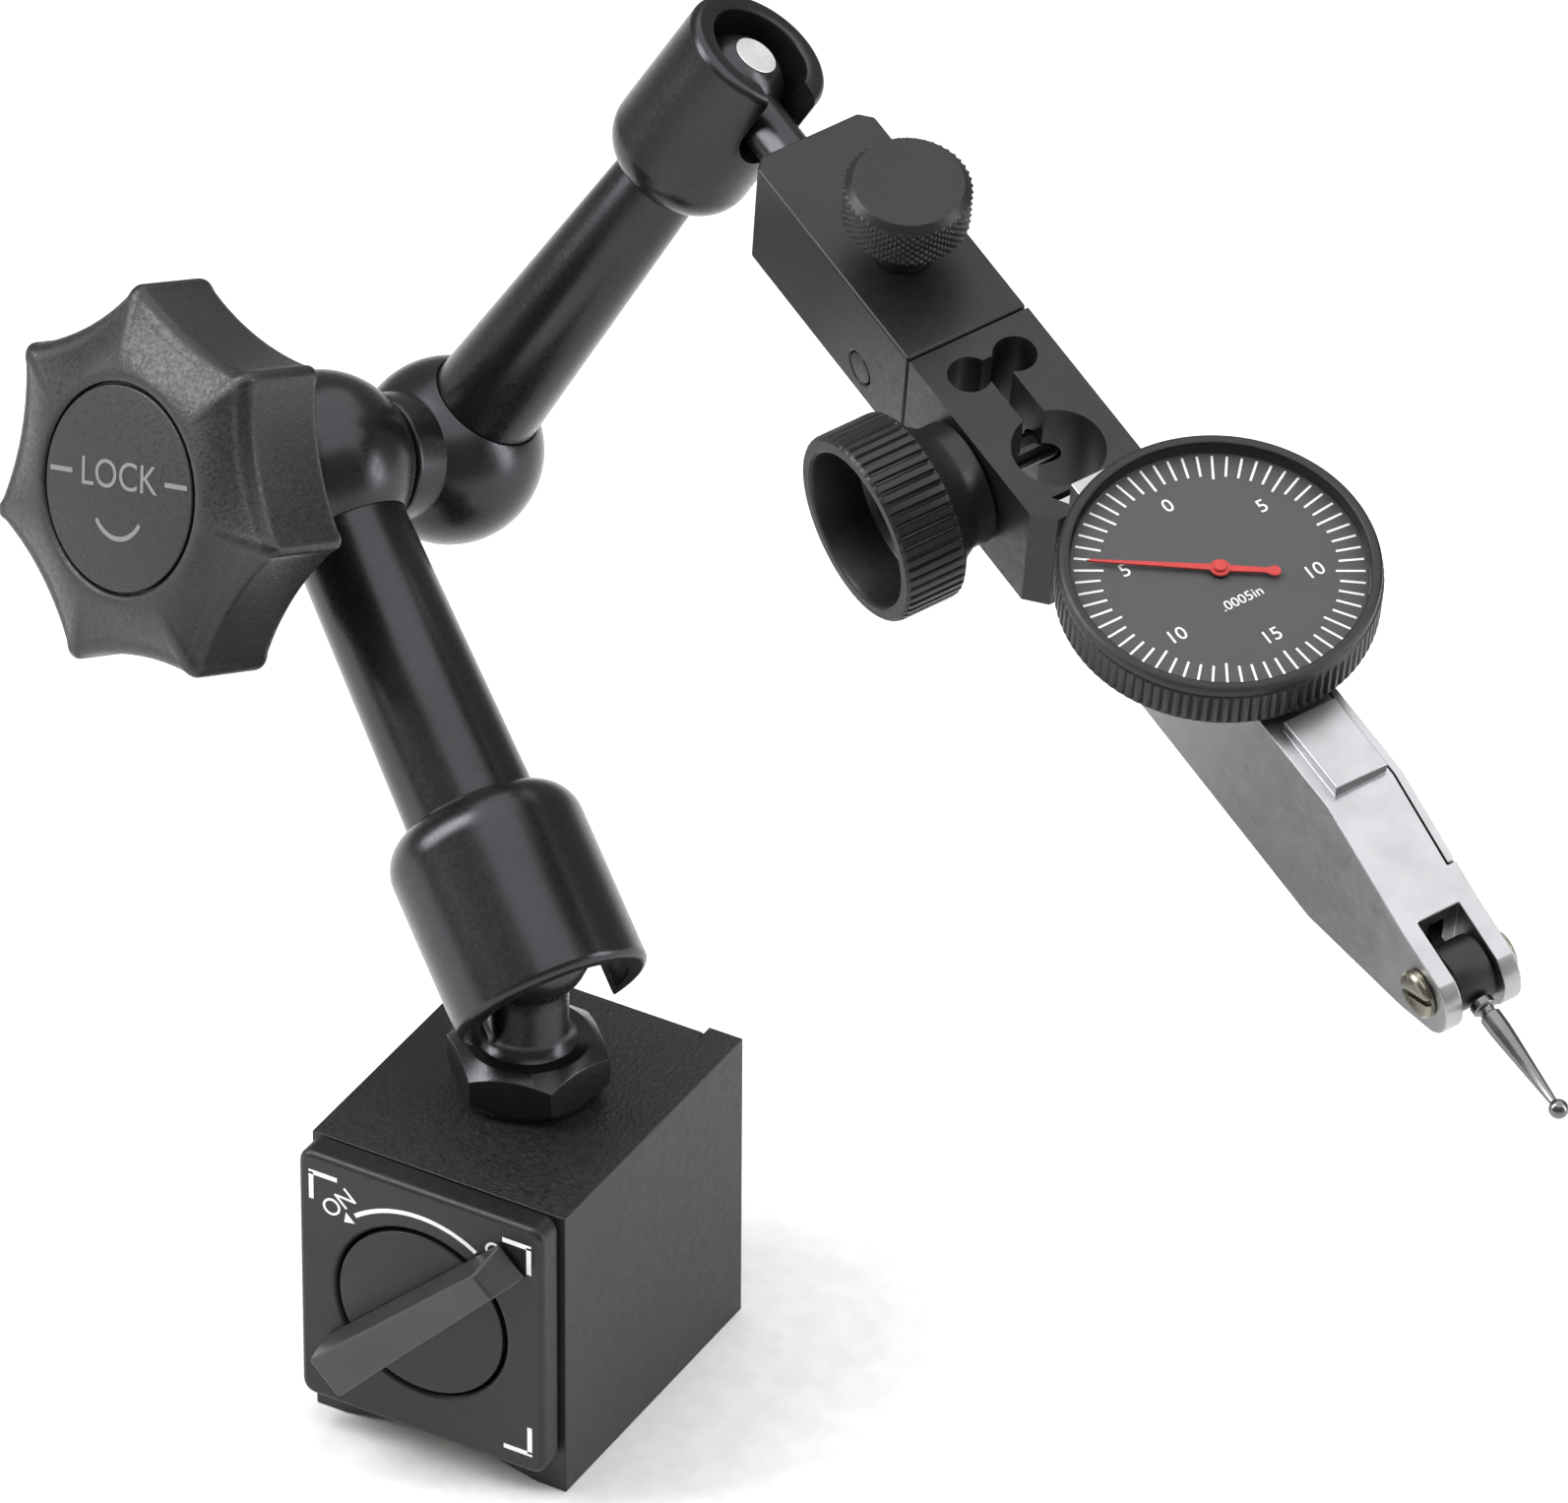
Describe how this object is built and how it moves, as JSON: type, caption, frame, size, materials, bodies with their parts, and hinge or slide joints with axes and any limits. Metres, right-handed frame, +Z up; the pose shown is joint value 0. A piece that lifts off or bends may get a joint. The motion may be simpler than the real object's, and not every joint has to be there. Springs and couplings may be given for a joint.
{
  "type": "dial indicator on magnetic base",
  "caption": "Lever-type dial test indicator clamped to a jointed arm with one locking knob, standing on a switchable magnetic base.",
  "frame": {"origin": "bottom centre of the magnetic base, level with its two feet", "axes": "+Z up from the foot; -Y out of the switch plate; +X to the right of the switch, the side that the indicator reaches over"},
  "size_m": [0.1882, 0.0841, 0.1373],
  "materials": {
    "coated_steel": "leather-grain black coat",
    "satin_black_steel": "satin black",
    "black_anodised": "matte black anodised",
    "black_plastic": "fine leather texture",
    "dial_black": "matte dark grey with white printing",
    "pointer_red": "satin red",
    "satin_chrome": "satin",
    "steel": "polished",
    "brass": "turned",
    "magnet": "ground",
    "ruby": "polished jewel",
    "clear_plastic": "clear"
  },
  "bodies": {
    "base": {"base_body": "coated_steel", "pole_separator": "brass", "front_plate": "black_anodised", "rear_plate": "coated_steel", "rotor_bushing": "brass", "stud_washer": "steel", "ball_stud": "satin_black_steel"},
    "switch": {"switch_knob": "black_plastic", "rotor_shaft": "steel", "rotor_magnet": "magnet"},
    "lower_seat": {"lower_ball_seat": "brass"},
    "lower_rod": {"lower_push_rod": "steel"},
    "lower_arm": {"lower_cup": "satin_black_steel", "lower_tube": "satin_black_steel", "lower_elbow_housing": "satin_black_steel", "lower_wedge": "brass"},
    "knob": {"star_knob": "black_plastic", "knob_disc": "black_plastic", "knob_insert": "brass", "thrust_sleeve": "satin_black_steel"},
    "upper_arm": {"upper_elbow_housing": "satin_black_steel", "elbow_bolt": "steel", "upper_wedge": "brass", "upper_tube": "satin_black_steel", "upper_cup": "satin_black_steel", "upper_push_rod": "steel"},
    "upper_seat": {"upper_ball_seat": "brass"},
    "head_stem": {"head_ball_stem": "satin_black_steel"},
    "rear_block": {"rear_block": "black_anodised", "pivot_pin": "steel", "return_spring": "steel"},
    "fine_screw": {"fine_adjust_screw": "black_anodised"},
    "holder": {"front_block": "black_anodised", "indicator_body": "satin_chrome", "body_cover": "satin_chrome", "pivot_screw_left": "brass", "pivot_screw_right": "brass", "dial_case": "satin_chrome", "arbor_jewel": "ruby"},
    "clamp": {"clamp_knob": "black_anodised", "clamp_screw": "steel"},
    "bezel": {"bezel": "black_anodised", "crystal": "clear_plastic", "dial_face": "dial_black"},
    "lever": {"lever_hub": "black_anodised"},
    "crown": {"crown_wheel": "brass"},
    "pointer": {"pointer": "pointer_red", "pointer_arbor": "steel"},
    "stylus": {"stylus": "steel"}
  },
  "joints": [
    {"name": "switch_turn", "type": "hinge", "parent": "base", "child": "switch", "pos_m": [0, 0, 0.0198], "axis": [0, -1, 0], "range_deg": [0, 90]},
    {"name": "lower_swivel", "type": "hinge", "parent": "base", "child": "lower_seat", "pos_m": [0, 0, 0.0532], "axis": [0, 0, 1], "range_deg": [-100, 60]},
    {"name": "lower_tilt", "type": "hinge", "parent": "lower_seat", "child": "lower_rod", "pos_m": [0, 0, 0.0532], "axis": [-0.5135, -0.8581, 0], "range_deg": [-70, 1]},
    {"name": "lower_twist", "type": "hinge", "parent": "lower_rod", "child": "lower_arm", "pos_m": [0, 0, 0.0532], "axis": [-0.6986, 0.4181, 0.5807], "range_deg": [-1.5, 12]},
    {"name": "elbow", "type": "hinge", "parent": "lower_arm", "child": "upper_arm", "pos_m": [-0.03842, 0.02299, 0.08514], "axis": [0.2693, 0.9055, -0.328], "range_deg": [-75, 45]},
    {"name": "knob_turn", "type": "hinge", "parent": "upper_arm", "child": "knob", "pos_m": [-0.03842, 0.02299, 0.08514], "axis": [-0.2693, -0.9055, 0.328], "range_deg": [0, 270]},
    {"name": "head_twist", "type": "hinge", "parent": "upper_arm", "child": "upper_seat", "pos_m": [-0.0048, 0.04939, 0.12752], "axis": [0.4989, 0.1602, 0.8517], "range_deg": [-4, 4]},
    {"name": "head_pitch", "type": "hinge", "parent": "upper_seat", "child": "head_stem", "pos_m": [-0.0048, 0.04939, 0.12752], "axis": [-0.3234, -0.8774, 0.3545], "range_deg": [-4, 55]},
    {"name": "head_roll", "type": "hinge", "parent": "head_stem", "child": "rear_block", "pos_m": [-0.0048, 0.04939, 0.12752], "axis": [0.8582, -0.4298, -0.2807], "range_deg": [-90, 90]},
    {"name": "fine_adjust", "type": "hinge", "parent": "rear_block", "child": "holder", "pos_m": [0.02506, 0.03493, 0.11452], "axis": [0.478, 0.8684, 0.1319], "range_deg": [-1.2, 1.2]},
    {"name": "fine_screw_turn", "type": "hinge", "parent": "rear_block", "child": "fine_screw", "pos_m": [0.02563, 0.03143, 0.13548], "axis": [0.187, -0.2474, 0.9507], "range_deg": [-60, 60]},
    {"name": "clamp_turn", "type": "hinge", "parent": "holder", "child": "clamp", "pos_m": [0.04223, 0.02584, 0.11214], "axis": [0.478, 0.8684, 0.1319], "range_deg": [0, 270]},
    {"name": "bezel_turn", "type": "hinge", "parent": "holder", "child": "bezel", "pos_m": [0.07403, 0.00719, 0.11965], "axis": [0.187, -0.2474, 0.9507], "continuous": true},
    {"name": "lever_swing", "type": "hinge", "parent": "holder", "child": "lever", "pos_m": [0.10917, -0.00825, 0.09399], "axis": [0.478, 0.8684, 0.1319], "range_deg": [-2.4, 2.4]},
    {"name": "crown_turn", "type": "hinge", "parent": "holder", "child": "crown", "pos_m": [0.07141, 0.01066, 0.10634], "axis": [0.478, 0.8684, 0.1319], "range_deg": [-97, 97]},
    {"name": "pointer_turn", "type": "hinge", "parent": "holder", "child": "pointer", "pos_m": [0.07403, 0.00719, 0.11965], "axis": [0.187, -0.2474, 0.9507], "range_deg": [-346, 346]},
    {"name": "stylus_swing", "type": "hinge", "parent": "lever", "child": "stylus", "pos_m": [0.10917, -0.00825, 0.09399], "axis": [0.478, 0.8684, 0.1319], "range_deg": [-100, 100]}
  ],
  "couplings": [
    {"joint": "fine_screw_turn", "follows": "fine_adjust", "ratio": 49},
    {"joint": "crown_turn", "follows": "lever_swing", "ratio": -40.121},
    {"joint": "pointer_turn", "follows": "lever_swing", "ratio": 143.14}
  ]
}
